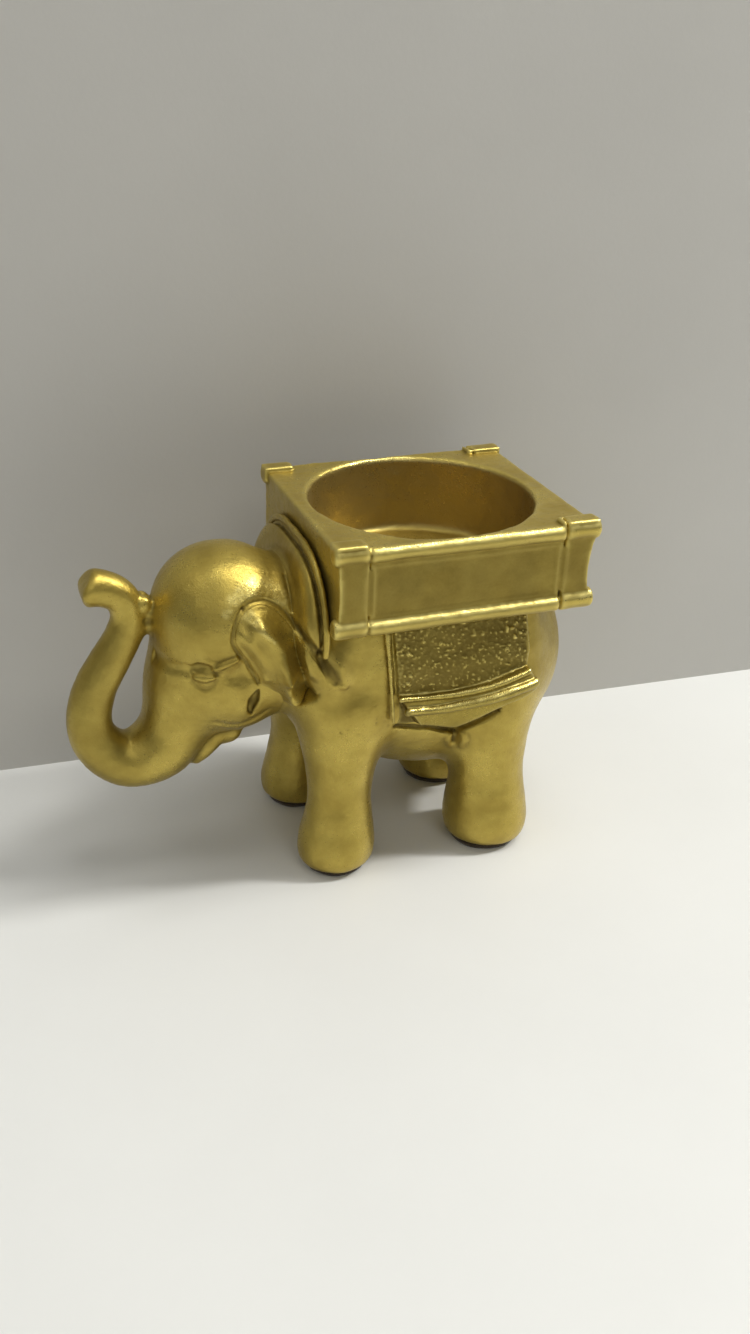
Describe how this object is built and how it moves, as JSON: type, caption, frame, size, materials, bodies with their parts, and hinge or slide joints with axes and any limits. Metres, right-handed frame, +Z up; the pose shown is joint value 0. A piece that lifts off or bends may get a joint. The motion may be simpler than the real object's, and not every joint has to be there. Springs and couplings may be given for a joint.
{
  "type": "tealight holder",
  "caption": "Small cast elephant with a raised trunk, carrying an open square box with a round tealight cup on its back.",
  "frame": {"origin": "on the table under the middle of the overall length and width", "axes": "+Z up, the elephant faces -X, +Y is its right side"},
  "size_m": [0.0905, 0.0424, 0.0648],
  "materials": {
    "gold_paint": "satin",
    "gold_paint_box": "satin",
    "pad_felt": "matte"
  },
  "bodies": {
    "root": {"body_casting": "gold_paint", "head_and_trunk": "gold_paint", "left_ear": "gold_paint", "right_ear": "gold_paint", "howdah_box": "gold_paint_box", "blanket_collar": "gold_paint", "left_saddle_panel": "gold_paint", "right_saddle_panel": "gold_paint", "front_left_foot_pad": "pad_felt", "front_right_foot_pad": "pad_felt", "rear_left_foot_pad": "pad_felt", "rear_right_foot_pad": "pad_felt"}
  },
  "joints": []
}
